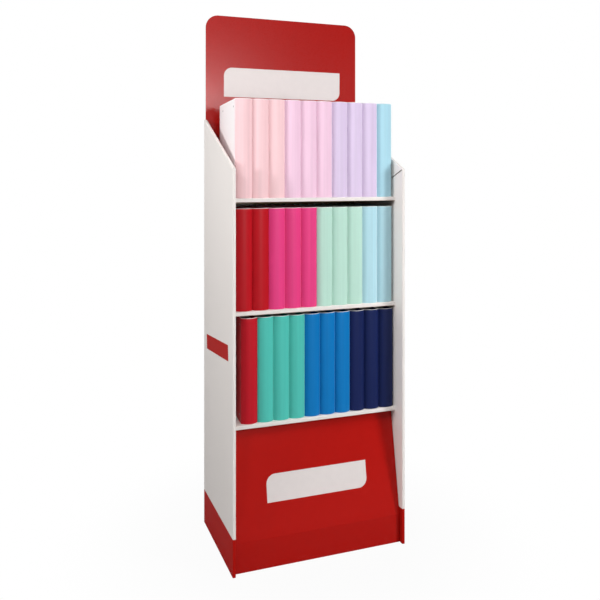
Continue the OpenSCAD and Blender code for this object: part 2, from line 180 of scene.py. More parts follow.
class BinderSettings(bpy.types.PropertyGroup):
    """Covers of the ring binders"""

    red: colour_property("Red", "Bottom row, first", ink(189, 20, 36))
    teal: colour_property("Teal", "Bottom row, second to fourth", ink(80, 192, 179))
    blue: colour_property("Blue", "Bottom row, fifth to seventh", ink(4, 117, 187))
    navy: colour_property("Navy", "Bottom row, the last three", ink(18, 32, 82))
    crimson: colour_property("Crimson", "Middle row, first two", ink(184, 18, 30))
    magenta: colour_property("Magenta", "Middle row, third to fifth", ink(228, 64, 130))
    mint: colour_property("Mint", "Middle row, sixth to eighth", ink(184, 221, 206))
    sky: colour_property("Sky", "Middle row, the last two", ink(176, 216, 227))
    salmon: colour_property("Salmon", "Top row, first three", ink(243, 203, 207))
    pink: colour_property("Pink", "Top row, fourth to sixth", ink(238, 200, 221))
    lilac: colour_property("Lilac", "Top row, seventh to ninth", ink(216, 198, 226))
    aqua: colour_property("Aqua", "Top row, the last", ink(170, 214, 229))
    lining: colour_property("Lining", "Paper inside the covers", ink(226, 224, 220))
    margin: length_property("Turn-in", "Width of the cover turned in round the lining", 0.012)
    rim_r: length_property("Rim radius", "Rounding of the covers' edges", 0.0006)
    spine_steps: IntProperty(name="Spine steps", description="Facets of the spine", default=28)


class MetalSettings(bpy.types.PropertyGroup):
    """Ring mechanisms and rivets"""

    nickel: colour_property("Nickel", "Plating of the ring mechanisms", ink(214, 214, 216))
    rivet: colour_property("Rivets", "Plating of the rivets", ink(178, 176, 176))
    plate_arch: length_property("Plate arch", "Rise of the arched base plate", 0.0018)
    ring_steps: IntProperty(name="Ring steps", description="Facets of a half ring", default=16)


class StudioSettings(bpy.types.PropertyGroup):
    """Floor, lamps and camera"""

    floor: colour_property("Floor", "Pale floor", ink(160, 160, 160))
    floor_r: length_property("Floor radius", "Radius of the floor", 9.0)
    key: power_property("Key", "Power of the right lamp", 58)
    near: power_property("Near", "Power of the small lamp high at the left", 16)
    gloss: power_property("Gloss", "Power of the lamp that shines in the header", 40)
    side: power_property("Side", "Power of the lamp beside the left side", 18)
    top: power_property("Top", "Power of the lamp above", 60)
    back: power_property("Back", "Power of the lamp behind", 52)
    ambient: FloatProperty(name="Ambient", description="Light from all round", default=0.19)
    sky: FloatProperty(name="Sky", description="Further light from above", default=0.12)
    dark: FloatProperty(
        name="Dark front",
        description="Share of both lights that gloss shows in front",
        default=0.15,
    )


class Number:
    """A value that varies over a surface; Python's operators add its Math nodes."""

    def __init__(self, finish, socket):
        self.finish, self.socket = finish, socket

    def __add__(self, other):
        return self.finish.math("ADD", self, other)

    def __radd__(self, other):
        return self.finish.math("ADD", other, self)

    def __sub__(self, other):
        return self.finish.math("SUBTRACT", self, other)

    def __rsub__(self, other):
        return self.finish.math("SUBTRACT", other, self)

    def __mul__(self, other):
        return self.finish.math("MULTIPLY", self, other)

    def __rmul__(self, other):
        return self.finish.math("MULTIPLY", other, self)

    def __truediv__(self, other):
        return self.finish.math("DIVIDE", self, other)

    def __rtruediv__(self, other):
        return self.finish.math("DIVIDE", other, self)

    def __abs__(self):
        return self.finish.math("ABSOLUTE", self)

    def __or__(self, other):
        """The larger of two masks."""
        return self.finish.math("MAXIMUM", self, other)

    def rises(self, start, end):
        """0 below start and 1 above end, with a smooth rise between; start may be the larger."""
        return self.finish.node(
            "ShaderNodeMapRange",
            {"interpolation_type": "SMOOTHSTEP"},
            {"Value": self, "From Min": start, "From Max": end},
        )

    def near(self, middle, half, soft):
        """1 within half of the middle, fading to 0 over soft."""
        return abs(self - middle).rises(half + soft, half)


class Nodes:
    """A node tree, filled by calls."""

    def __init__(self, tree):
        self.tree = tree
        tree.nodes.clear()

    def node(self, kind, settings=None, sockets=None, out=0):
        """Adds a node with its settings and what its sockets get, and returns an output."""
        made = self.tree.nodes.new(kind)
        for name, value in (settings or {}).items():
            setattr(made, name, value)
        for key, value in (sockets or {}).items():
            self.feed(made.inputs[key], value)
        if isinstance(out, tuple):
            return [Number(self, made.outputs[o]) for o in out]
        return Number(self, made.outputs[out])

    def feed(self, socket, value):
        if isinstance(value, Number):
            self.tree.links.new(value.socket, socket)
        elif socket.type == "RGBA" and len(value) == 3:
            socket.default_value = (*value, 1)
        else:
            socket.default_value = value

    def math(self, operation, *values):
        return self.node("ShaderNodeMath", {"operation": operation}, dict(enumerate(values)))

    def apart(self, vector):
        return self.node("ShaderNodeSeparateXYZ", None, {0: vector}, out=(0, 1, 2))


class Finish(Nodes):
    """A procedural material with one Principled shader, in the row frame's coordinates."""

    def __init__(self, name):
        self.material = bpy.data.materials.new(name)
        self.material.use_nodes = True
        super().__init__(self.material.node_tree)
        self.shader = self.tree.nodes.new("ShaderNodeBsdfPrincipled")
        self.output = self.tree.nodes.new("ShaderNodeOutputMaterial")
        self.tree.links.new(self.shader.outputs[0], self.output.inputs["Surface"])
        self.place = self.node("ShaderNodeTexCoord", out="Object")
        self.x, self.y, self.z = self.apart(self.place)

    def faces(self):
        """The surface's own direction, as three values."""
        return self.apart(self.node("ShaderNodeNewGeometry", out="Normal"))

    def noise(self, scale, detail, stretch=(1, 1, 1)):
        """Noise about 0.5; scale is in lumps a metre, and stretch squeezes it along an axis."""
        where = self.node("ShaderNodeMapping", None, {"Vector": self.place, "Scale": stretch})
        sockets = {"Vector": where, "Scale": scale, "Detail": detail}
        return self.node("ShaderNodeTexNoise", None, sockets)

    def mix(self, factor, first, second):
        """The first colour where the factor is 0, and the second where it is 1."""
        sockets = {0: factor, 6: first, 7: second}
        return self.node("ShaderNodeMix", {"data_type": "RGBA"}, sockets, out=2)

    def shade(self, colour, amount):
        """The colour times a value that varies."""
        grey = self.node("ShaderNodeCombineXYZ", None, {0: amount, 1: amount, 2: amount})
        return self.node("ShaderNodeVectorMath", {"operation": "MULTIPLY"}, {0: colour, 1: grey})

    def mottle(self, colour, pattern, spread, level=1.0):
        """The colour at a level, varied by a pattern of 0 to 1 over a spread."""
        return self.shade(colour, pattern * spread + (level - spread / 2))

    def bump(self, height, distance, strength):
        sockets = {"Height": height, "Distance": distance, "Strength": strength}
        return self.node("ShaderNodeBump", None, sockets)

    def set(self, **values):
        """Sets the shader's sockets: Base_Color=..., Roughness=..."""
        for name, value in values.items():
            self.feed(self.shader.inputs[name.replace("_", " ")], value)
        return self.material


def flutes(finish, along, pitch):
    """The board's flutes as a wave of 0 to 1 along a direction."""
    return finish.math("SINE", along * (2 * math.pi / pitch)) * 0.5 + 0.5


def bare_paper(finish, kraft, fibres):
    """Brown paper with its fibres."""
    return finish.mottle(kraft, fibres, 0.28)


def cut_board(finish, board, along, off_middle):
    """Colour of a board's cut edge: two liners and the wavy flute between them, with the flutes'
    hollows painted dark as shade.
    """
    across = off_middle / (BOARD_T / 2)
    wave = flutes(finish, along, board.flute_pitch) * 1.4 - 0.7
    paper = abs(across - wave).rises(0.42, 0.2)
    liner = abs(across).rises(0.72, 0.82)
    # Painted shade: the flutes' hollows are kraft darkened to 0.28
    painted_flute_shade = [c * 0.28 for c in board.kraft]
    return finish.mix(paper | liner, painted_flute_shade, board.kraft)


def wrap_cuts(finish, board, colour):
    """The wrap's colour with the cut edges of its liners and of its back."""
    way_x, _, way_z = finish.faces()
    face_x, face_z = abs(way_x), abs(way_z)
    out, behind = abs(finish.x), finish.y - FRONT_Y
    liner_middle = LINER_X + BOARD_T / 2
    below_slope = (behind * SLOPE + SIDE_FRONT_H - finish.z).rises(0.0018, 0.0024)
    on_liner = out.near(liner_middle, BOARD_T / 2 + 0.0001, 0.0001)
    liner_cut = on_liner * below_slope * face_x.rises(0.6, 0.4)
    liner_cut = liner_cut * behind.rises(0.0005, BOARD_T + 0.0002)
    edge = cut_board(finish, board, finish.y, out - liner_middle)
    colour = finish.mix(liner_cut, colour, edge)
    back_inside, back_middle = BACK_Y - BOARD_T, BACK_Y - BOARD_T / 2
    back_cut = face_z.rises(0.5, 0.7) * finish.y.rises(back_inside - 0.0005, back_inside)
    edge = cut_board(finish, board, finish.x, finish.y - back_middle)
    return finish.mix(back_cut, colour, edge)


def white_board_finish(name, board, is_wrap):
    """White coated board with faint flutes; the wrap also has the red band and cut edges."""
    finish = Finish(name)
    grain = finish.noise(520, 2.0)
    way_x, way_y, way_z = finish.faces()
    along = finish.x + (finish.y - finish.x) * abs(way_x).rises(0.4, 0.6)
    colour = finish.mottle(board.white, finish.noise(2.5, 1.0), 0.03)
    bare = way_z.rises(-0.5, -0.7)
    if is_wrap:
        band = finish.z.rises(board.band_h + 0.0003, board.band_h - 0.0003)
        red = finish.mottle(board.red, finish.noise(60, 3.0), 0.08)
        colour = wrap_cuts(finish, board, finish.mix(band, colour, red))
        bare = way_y.rises(-0.7, -0.9) * finish.y.rises(BACK_Y - 0.016, BACK_Y - 2 * BOARD_T)
    colour = finish.mix(bare, colour, bare_paper(finish, board.kraft, finish.noise(240, 4.0)))
    ridges = flutes(finish, along, board.flute_pitch)
    height = ridges * 0.3 + finish.noise(9, 2.0) + grain * 0.05
    return finish.set(
        Base_Color=colour,
        Roughness=0.46 + grain * 0.1,
        Specular_IOR_Level=0.06,
        Normal=finish.bump(height, 0.00025, 0.5),
    )


def red_board_finish(name, board, is_header, level, gloss, roughness):
    """Board printed red and laminated, brown behind; the header also has cut edges."""
    finish = Finish(name)
    grain = finish.noise(480, 2.0)
    way_x, way_y, _ = finish.faces()
    # level darkens the whole print; below 1 it is painted shade
    colour = finish.mottle(board.red, finish.noise(45, 3.0), 0.1, level)
    bare = way_y.rises(0.5, 0.7)
    if is_header:
        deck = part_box("shelf_top")[1].z
        bare = bare | finish.z.rises(deck + 0.0002, deck - 0.0002)
    colour = finish.mix(bare, colour, bare_paper(finish, board.kraft, finish.noise(240, 4.0)))
    if is_header:
        low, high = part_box("header_card")
        along = finish.x * (1 - abs(way_x).rises(0.4, 0.8))
        edge = cut_board(finish, board, along, finish.y - (low.y + high.y) / 2)
        colour = finish.mix(abs(way_y).rises(0.6, 0.4), colour, edge)
    ridges = flutes(finish, finish.x, board.flute_pitch)
    height = ridges * 0.3 + finish.noise(7, 2.0) + grain * 0.05
    return finish.set(
        Base_Color=colour,
        Roughness=roughness + grain * 0.06,
        Specular_IOR_Level=gloss,
        Normal=finish.bump(height, 0.00025, 0.5),
    )


def raw_board_finish(board):
    """Bare brown board of the dividers, with its fibres and flutes."""
    finish = Finish("raw_board")
    fibres = finish.noise(240, 4.0, stretch=(1, 1, 0.12))
    specks = finish.noise(900, 1.0).rises(0.66, 0.72)
    colour = bare_paper(finish, board.kraft, fibres)
    colour = finish.mix(specks * 0.35, colour, [c * 0.45 for c in board.kraft])
    ridges = flutes(finish, finish.x + finish.y, board.flute_pitch)
    return finish.set(
        Base_Color=colour,
        Roughness=0.78,
        Specular_IOR_Level=0.2,
        Normal=finish.bump(ridges * 0.5 + fibres * 0.3, 0.0002, 0.6),
    )


def print_finish(name, colour):
    """Flat print or label paper with a little mottle."""
    finish = Finish(name)
    grain = finish.noise(700, 2.0)
    return finish.set(
        Base_Color=finish.mottle(colour, finish.noise(55, 3.0), 0.06),
        Roughness=0.4 + grain * 0.1,
        Specular_IOR_Level=0.06,
        Normal=finish.bump(grain, 0.00003, 0.5),
    )


def cover_finish(name, colour, low, high):
    """Plastic-coated cover with fine grain, upright streaks of uneven tone and painted highlight,
    a painted sheen at low angles, and foot and top rims that are paler, partly a lighter edge and
    partly painted highlight.
    """
    finish = Finish(name)
    grain = finish.noise(1300, 2.0)
    cloudy = finish.noise(6, 2.0)
    # The rims' colour: partly a lighter edge, partly a painted highlight of light falling from
    # above
    pale = [c + (0.9 - c) * 0.8 for c in colour]
    top_rim = finish.z.rises(high - 0.0022, high - 0.0006)
    foot_rim = finish.z.rises(low + 0.0016, low + 0.0004)
    turned = top_rim | foot_rim * 0.4
    # The upright streaks are partly uneven tone of the coat and partly painted highlight of the
    # glossy foil
    streaks = finish.noise(110, 3.0, stretch=(1, 1, 0.015))
    body = finish.shade(colour, 0.87 + cloudy * 0.04 + streaks * 0.22)
    # Painted sheen: at a low angle the colour is mixed towards white, more so on a light colour,
    # standing in for the reflection of a bright room
    painted_sheen = [c + (0.96 - c) * 1.6 * (sum(colour) / 3) ** 2 for c in colour]
    low_angle = finish.node("ShaderNodeLayerWeight", None, {"Blend": 0.5}, out="Facing")
    body = finish.mix(low_angle.rises(0.5, 0.75), body, painted_sheen)
    return finish.set(
        Base_Color=finish.mix(turned, body, pale),
        Roughness=0.4 + grain * 0.12,
        Specular_IOR_Level=0.18,
        Normal=finish.bump(grain, 0.00004, 0.6),
    )


def lining_finish(binders):
    """Pale paper pasted inside the covers."""
    finish = Finish("cover_lining")
    fibres = finish.noise(420, 3.0, stretch=(1, 1, 0.3))
    return finish.set(
        Base_Color=finish.mottle(binders.lining, fibres, 0.08),
        Roughness=0.66,
        Specular_IOR_Level=0.25,
        Normal=finish.bump(fibres, 0.00004, 0.6),
    )


def plated_finish(name, colour, roughness):
    """Plated steel with fine drawing marks and dull patches."""
    finish = Finish(name)
    marks = finish.noise(1500, 2.0, stretch=(1, 1, 0.06))
    dull = finish.noise(90, 3.0)
    return finish.set(
        Base_Color=finish.mottle(colour, dull, 0.1, 0.97),
        Metallic=1.0,
        Roughness=roughness + dull * 0.12 + marks * 0.06,
        Normal=finish.bump(marks, 0.00002, 0.5),
    )


def floor_finish(studio):
    """Pale floor that keeps the stand's shadow and is white to the camera further out."""
    finish = Finish("studio_floor")
    paper = finish.noise(1.2, 1.0)
    finish.set(Base_Color=finish.mottle(studio.floor, paper, 0.01, 0.995), Roughness=0.9)
    light = finish.node("ShaderNodeEmission", None, {"Color": (1, 1, 1), "Strength": 1.0})
    length = {"operation": "LENGTH"}
    reach = finish.node("ShaderNodeVectorMath", length, {0: finish.place}, out="Value")
    seen, clear = finish.node("ShaderNodeLightPath", out=("Is Camera Ray", "Is Transmission Ray"))
    white = (seen | clear) * (reach.rises(0.3, 0.9) * 0.045 + 0.955)
    shader = Number(finish, finish.shader.outputs[0])
    both = finish.node("ShaderNodeMixShader", None, {0: white, 1: shader, 2: light})
    finish.tree.links.new(both.socket, finish.output.inputs["Surface"])
    return finish.material


def verts_of(geometry):
    """The vertices among what an operator gives back."""
    return [g for g in geometry if isinstance(g, bmesh.types.BMVert)]


class Outline:
    """A line of edges in plan, drawn by going ahead and turning; left of it is the inside."""

    def __init__(self, mesh, start, heading):
        self.mesh, self.heading = mesh, heading
        self.old = set(mesh.edges)
        self.tip = mesh.verts.new(start)
        self.verts = [self.tip]

    def ahead(self, length, steps=1):
        for _ in range(steps):
            made = bmesh.ops.extrude_vert_indiv(self.mesh, verts=[self.tip])
            self.tip = made["verts"][0]
            step = length / steps
            way = Vector((math.cos(self.heading) * step, math.sin(self.heading) * step, 0))
            bmesh.ops.translate(self.mesh, verts=[self.tip], vec=way)
            self.verts.append(self.tip)

    def turn(self, angle, radius, steps):
        """Turns left for a positive angle, on an arc of that radius."""
        inwards = self.heading + math.copysign(math.pi / 2, angle)
        centre = self.tip.co + Vector((math.cos(inwards) * radius, math.sin(inwards) * radius, 0))
        for _ in range(steps):
            made = bmesh.ops.spin(
                self.mesh,
                geom=[self.tip],
                cent=centre,
                axis=(0, 0, 1),
                angle=angle / steps,
                steps=1,
            )
            self.tip = verts_of(made["geom_last"])[0]
            self.verts.append(self.tip)
        self.heading += angle

    def edges(self):
        return [e for e in self.mesh.edges if e not in self.old]


def add_piece(name, mesh, finishes, replaced=()):
    """Makes a finished piece of a bmesh, which rides on the stand."""
    data = bpy.data.meshes.new(name)
    mesh.to_mesh(data)
    mesh.free()
    for finish in finishes:
        data.materials.append(finish)
    data.shade_smooth()
    data.set_sharp_from_angle(angle=SHARP_ANGLE)
    piece = bpy.data.objects.new(name, data)
    bpy.context.scene.collection.objects.link(piece)
    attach(piece, "root")
    if replaced:
        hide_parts(*replaced)


def dress(node, finish):
    """Gives a CAD node its finish."""
    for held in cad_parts[node].material_slots:
        held.material = finish


def cover_mesh(width, height, binders):
    """One binder cover in plan from the left fore edge round the spine, with creases, then up."""
    mesh = bmesh.new()
    inside = mesh.verts.layers.float.new("inside")
    radius = ((width / 2) ** 2 + SPINE_CROWN**2) / (2 * SPINE_CROWN)
    half_arc = math.asin(width / 2 / radius)
    corner = math.pi / 2 + COVER_TAPER - half_arc
    back = Vector((math.sin(COVER_TAPER), math.cos(COVER_TAPER), 0))
    inwards = Vector((math.cos(COVER_TAPER), -math.sin(COVER_TAPER), 0))
    heading = -math.pi / 2 - COVER_TAPER
    dip = 2 * math.atan(2 * CREASE_DEPTH / CREASE_W)
    bend = CREASE_W / 2 / math.sin(dip)
    lip_r, corner_r, inner_r = 0.0010, 0.0020, 0.0010
    spine_steps = binders.spine_steps
    to_crease = COVER_DEPTH - CREASE_W * 1.5

    outer = Outline(mesh, back * COVER_DEPTH, heading)
    cut = corner_r * math.tan(corner / 2)

    def crease():
        outer.turn(dip, lip_r, LIP_STEPS)
        outer.turn(-2 * dip, bend - lip_r, 2 * LIP_STEPS)
        outer.turn(dip, lip_r, LIP_STEPS)

    outer.ahead(to_crease)
    crease()
    outer.ahead(CREASE_W / 2 - cut)
    outer.turn(corner, corner_r, CORNER_STEPS)
    outer.turn(2 * (half_arc - cut / radius), radius, spine_steps)
    outer.turn(corner, corner_r, CORNER_STEPS)
    outer.ahead(CREASE_W / 2 - cut)
    crease()
    outer.ahead(to_crease)
    outer_edges = outer.edges()

    # The inner face runs a board's thickness inside; this is how far back its corner lies
    centre = Vector((width / 2, radius - SPINE_CROWN, 0))
    inner_radius = radius - COVER_T
    gap = inwards * COVER_T - centre
    along = gap.dot(back)
    corner_back = -along - math.sqrt(along**2 - gap.length_squared + inner_radius**2)
    at_corner = gap + back * corner_back
    inner_half = math.atan2(-at_corner.x, -at_corner.y)
    inner_corner = math.pi / 2 + COVER_TAPER - inner_half
    inner_cut = inner_r * math.tan(inner_corner / 2)
    inner = Outline(mesh, back * COVER_DEPTH + inwards * COVER_T, heading)
    to_corner = CREASE_W / 2 - corner_back - inner_cut
    inner.ahead(to_crease)
    inner.ahead(CREASE_W, 4 * LIP_STEPS)
    inner.ahead(to_corner)
    inner.turn(inner_corner, inner_r, CORNER_STEPS)
    inner.turn(2 * (inner_half - inner_cut / inner_radius), inner_radius, spine_steps)
    inner.turn(inner_corner, inner_r, CORNER_STEPS)
    inner.ahead(to_corner)
    inner.ahead(CREASE_W, 4 * LIP_STEPS)
    inner.ahead(to_crease)
    for vert in inner.verts:
        vert[inside] = 1.0

    plan = bmesh.ops.bridge_loops(mesh, edges=outer_edges + inner.edges())["faces"]
    raised = bmesh.ops.extrude_face_region(mesh, geom=plan)["geom"]
    bmesh.ops.translate(mesh, verts=verts_of(raised), vec=(0, 0, height))
    bmesh.ops.recalc_face_normals(mesh, faces=mesh.faces)
    rims = [e for e in mesh.edges if e.is_manifold and e.calc_face_angle() > RIM_ANGLE]
    bmesh.ops.bevel(
        mesh,
        geom=rims,
        offset=binders.rim_r,
        affect="EDGES",
        segments=RIM_STEPS,
        profile=0.5,
        material=-1,
        clamp_overlap=True,
    )

    # All faces are cut along the turn-in's border, and the inner ones within it become the lining
    fore = back * (COVER_DEPTH - binders.margin)
    for at, way in (
        (Vector((0, 0, binders.margin)), Vector((0, 0, 1))),
        (Vector((0, 0, height - binders.margin)), Vector((0, 0, 1))),
        (fore, Vector((0, 1, 0))),
    ):
        geometry = mesh.verts[:] + mesh.edges[:] + mesh.faces[:]
        bmesh.ops.bisect_plane(mesh, geom=geometry, plane_co=at, plane_no=way)
    lining = []
    for face in mesh.faces:
        middle = face.calc_center_median()
        held = binders.margin < middle.z < height - binders.margin and middle.y < fore.y
        if held and all(v[inside] > 0.9 for v in face.verts):
            face.material_index = 1
            lining.append(face)
    if not lining:
        raise RuntimeError("the cover has no inner faces to line")
    bmesh.ops.inset_region(
        mesh, faces=lining, thickness=LINING_T, depth=LINING_T, use_even_offset=True
    )
    return mesh


def mechanism_mesh(height, metal):
    """Ring mechanism in its cover's frame: X off the inner face, Y back from the spine, Z up."""
    mesh = bmesh.new()
    plate_z = RIVET_INSET - PLATE_END
    plate_l = height - 2 * plate_z
    arch = metal.plate_arch
    radius = ((PLATE_W / 2) ** 2 + arch**2) / (2 * arch)
    half = math.asin(PLATE_W / 2 / radius)
    strip = Outline(mesh, (PLATE_SHEET / 2, -PLATE_W / 2, plate_z), math.pi / 2 - half)
    strip.turn(2 * half, radius, ARCH_STEPS)
    sheet = bmesh.ops.extrude_edge_only(mesh, edges=strip.edges())["geom"]
    bmesh.ops.translate(mesh, verts=verts_of(sheet), vec=(0, 0, plate_l))
    geometry = mesh.verts[:] + mesh.edges[:] + mesh.faces[:]
    bmesh.ops.solidify(mesh, geom=geometry, thickness=PLATE_SHEET)
    bmesh.ops.recalc_face_normals(mesh, faces=mesh.faces)

    reach = (RING_D - RING_WIRE) / 2
    first = (height - (RING_COUNT - 1) * RING_PITCH) / 2
    for k in range(RING_COUNT):
        middle = Vector((RING_OUT, 0, first + k * RING_PITCH))
        for side in (1, -1):
            wire = bmesh.ops.create_circle(
                mesh,
                cap_ends=True,
                segments=WIRE_SIDES,
                radius=RING_WIRE / 2,
                matrix=Matrix.Translation(middle)
                @ Matrix.Rotation(side * RING_GAP, 4, "Z")
                @ Matrix.Translation((-reach, 0, 0))
                @ Matrix.Rotation(math.pi / 2, 4, "X"),
            )["verts"]
            face = [f for f in mesh.faces if set(f.verts) == set(wire)]
            bmesh.ops.spin(
                mesh,
                geom=face + wire + list({e for v in wire for e in v.link_edges}),
                cent=middle,
                axis=(0, 0, 1),
                angle=side * (math.pi - 2 * RING_GAP),
                steps=metal.ring_steps,
            )
    for z in (plate_z + LEVER_T / 2, plate_z + plate_l - LEVER_T / 2):
        lever = bmesh.ops.create_cube(mesh, size=1.0)["verts"]
        bmesh.ops.scale(mesh, verts=lever, vec=(LEVER_L, PLATE_W / 2, LEVER_T))
        bmesh.ops.translate(mesh, verts=lever, vec=(LEVER_L / 2, 0, z))
        end = {v for v in lever if v.co.x > LEVER_L / 2}
        corners = [
            e
            for e in mesh.edges
            if end.issuperset(e.verts) and abs(e.verts[0].co.z - e.verts[1].co.z) > LEVER_T / 2
        ]
        bmesh.ops.bevel(
            mesh,
            geom=corners,
            offset=LEVER_R,
            affect="EDGES",
            segments=LEVER_STEPS,
            profile=0.5,
            material=-1,
        )
    bmesh.ops.remove_doubles(mesh, verts=mesh.verts, dist=MERGE_DISTANCE)
    bmesh.ops.recalc_face_normals(mesh, faces=mesh.faces)
    return mesh


def rivet_mesh(through):
    """Rivet with a domed head; its axis is X, the head is on -X and the shank goes through."""
    mesh = bmesh.new()
    head_r = RIVET_HEAD_D / 2
    radius = (head_r**2 + RIVET_DOME_H**2) / (2 * RIVET_DOME_H)
    half = math.asin(head_r / radius)
    side = Outline(mesh, (-RIVET_HEAD_H, 0, 0), math.pi / 2)
    side.turn(-half, radius, DOME_STEPS)
    side.heading = 0
    side.ahead(RIVET_HEAD_H - RIVET_DOME_H)
    side.heading = -math.pi / 2
    side.ahead(head_r - RIVET_D / 2)
    side.heading = 0
    side.ahead(through)
    side.heading = -math.pi / 2
    side.ahead(RIVET_D / 2)
    bmesh.ops.spin(
        mesh,
        geom=mesh.verts[:] + mesh.edges[:],
        cent=(0, 0, 0),
        axis=(1, 0, 0),
        angle=2 * math.pi,
        steps=RIVET_SIDES,
        use_merge=True,
    )
    bmesh.ops.remove_doubles(mesh, verts=mesh.verts, dist=MERGE_DISTANCE)
    bmesh.ops.recalc_face_normals(mesh, faces=mesh.faces)
    return mesh


def spine_corner(node):
    """Foot of a binder's left edge, where its spine meets the left cover."""
    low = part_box(node)[0]
    return Matrix.Translation((low.x, low.y + SPINE_CROWN, low.z))


def on_left_cover(node, back, out):
    """Where a place on a left cover lies: back from the spine's edge and out from the face."""
    turned = spine_corner(node) @ Matrix.Rotation(-COVER_TAPER, 4, "Z")
    return turned @ Matrix.Translation((-out, back, 0))


def gather(parts):
    """One bmesh of several, each with the places where it is wanted."""
    whole = bmesh.new()
    for part, places in parts:
        data = bpy.data.meshes.new("part")
        part.to_mesh(data)
        part.free()
        for place in places:
            before = len(whole.verts)
            whole.from_mesh(data)
            whole.verts.ensure_lookup_table()
            bmesh.ops.transform(whole, matrix=place, verts=whole.verts[before:])
        bpy.data.meshes.remove(data)
    return whole


def binder_nodes(row):
    return sorted(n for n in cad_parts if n.startswith(f"binder_{row}_"))


def row_height(row):
    low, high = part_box(binder_nodes(row)[0])
    return high.z - low.z


def card_mesh(size, radius, thickness, place, slanting=False):
    """A thin card stood upright, facing the front, then put in its place.

    All its corners are round, or the upper left and lower right ones alone if it is slanting.
    """
    mesh = bmesh.new()
    card = bmesh.ops.create_grid(mesh, x_segments=1, y_segments=1, size=0.5)["verts"]
    rounded = [v for v in card if not slanting or v.co.x * v.co.y < 0]
    bmesh.ops.scale(mesh, verts=card, vec=(*size, 1))
    bmesh.ops.bevel(
        mesh,
        geom=rounded,
        offset=radius,
        affect="VERTICES",
        segments=CARD_STEPS,
        profile=0.5,
        material=-1,
    )
    raised = bmesh.ops.extrude_face_region(mesh, geom=mesh.faces[:])["geom"]
    bmesh.ops.translate(mesh, verts=verts_of(raised), vec=(0, 0, thickness))
    upright = Matrix.Rotation(math.pi / 2, 4, "X")
    bmesh.ops.transform(mesh, matrix=place @ upright, verts=mesh.verts)
    bmesh.ops.recalc_face_normals(mesh, faces=mesh.faces)
    return mesh


class STAND_OT_print_board(bpy.types.Operator):
    """Prints the wrap, shelves, header and base panel, and leaves the dividers bare"""

    bl_idname = "stand.print_board"
    bl_label = "Print the board"

    def execute(self, context):
        board = context.scene.stand_board
        dress("body_wrap", white_board_finish("wrap_print", board, is_wrap=True))
        shelf = white_board_finish("shelf_print", board, is_wrap=False)
        for row in ROWS:
            dress(f"shelf_{row}", shelf)
        # The header's red is set to 0.88 of the base panel's: painted shade, as less light reaches
        # the header
        header = red_board_finish(
            "header_print", board, is_header=True, level=0.88, gloss=0.4, roughness=0.25
        )
        dress("header_card", header)
        base = red_board_finish(
            "base_print", board, is_header=False, level=1.0, gloss=0.15, roughness=0.22
        )
        dress("base_panel", base)
        raw = raw_board_finish(board)
        for place in ("cross", "left", "right"):
            dress(f"base_divider_{place}", raw)
        return {"FINISHED"}


class STAND_OT_add_plates(bpy.types.Operator):
    """Adds the bare plates of the header and the base panel, and the label on the left side"""

    bl_idname = "stand.add_plates"
    bl_label = "Add plates and label"

    def execute(self, context):
        board = context.scene.stand_board
        plate = print_finish("plate_print", board.plate)
        header_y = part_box("header_card")[0].y
        place = Matrix.Translation((0, header_y, board.header_plate_z))
        size = (board.header_plate_w, board.header_plate_h)
        mesh = card_mesh(size, board.plate_r, board.print_t, place, slanting=True)
        add_piece("header_plate", mesh, [plate])

        lean_y = FRONT_Y + FOOT_BACK + (board.base_plate_z - FOOT_H) * math.tan(PANEL_LEAN)
        place = Matrix.Translation((0, lean_y, board.base_plate_z))
        place = place @ Matrix.Rotation(-PANEL_LEAN, 4, "X")
        size = (board.base_plate_w, board.base_plate_h)
        mesh = card_mesh(size, board.plate_r, board.print_t, place, slanting=True)
        add_piece("base_plate", mesh, [plate])

        place = Matrix.Translation((CAD_BOX[0].x, FRONT_Y + LABEL_BACK, board.label_z))
        place = place @ Matrix.Rotation(LABEL_TILT, 4, "X")
        place = place @ Matrix.Rotation(-math.pi / 2, 4, "Z")
        size = (board.label_w, board.label_h)
        mesh = card_mesh(size, board.label_r, board.print_t, place)
        add_piece("side_label", mesh, [print_finish("label_print", board.red)])
        return {"FINISHED"}


class STAND_OT_add_covers(bpy.types.Operator):
    """Models the cover of each binder, in its own colour, in place of its solid"""

    bl_idname = "stand.add_covers"
    bl_label = "Add binder covers"

    def execute(self, context):
        binders = context.scene.stand_binders
        lining = lining_finish(binders)
        for row, colours in ROWS.items():
            nodes = binder_nodes(row)
            low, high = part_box(nodes[0])
            made = cover_mesh(high.x - low.x, high.z - low.z, binders)
            slots = []
            for slot, count in colours:
                colour = getattr(binders, slot.removeprefix("cover_"))
                slots += [(slot, cover_finish(slot, colour, low.z, high.z))] * count
            for i, (node, (slot, finish)) in enumerate(zip(nodes, slots, strict=True), 1):
                copy = made.copy()
                bmesh.ops.transform(copy, matrix=spine_corner(node), verts=copy.verts)
                add_piece(f"{row}_cover_{i:02d}", copy, [finish, lining], [node])
            made.free()
        return {"FINISHED"}


class STAND_OT_add_mechanisms(bpy.types.Operator):
    """Models the ring mechanisms of each row, in place of their solids"""

    bl_idname = "stand.add_mechanisms"
    bl_label = "Add ring mechanisms"

    def execute(self, context):
        metal = context.scene.stand_metal
        nickel = plated_finish("ring_nickel", metal.nickel, 0.18)
        for row in ROWS:
            places = [on_left_cover(node, PLATE_SET, -COVER_T) for node in binder_nodes(row)]
            mesh = gather([(mechanism_mesh(row_height(row), metal), places)])
            name, solids = f"{row}_ring_mechanisms", [f"ring_mechanisms_{row}"]
            add_piece(name, mesh, [nickel], solids)
        return {"FINISHED"}


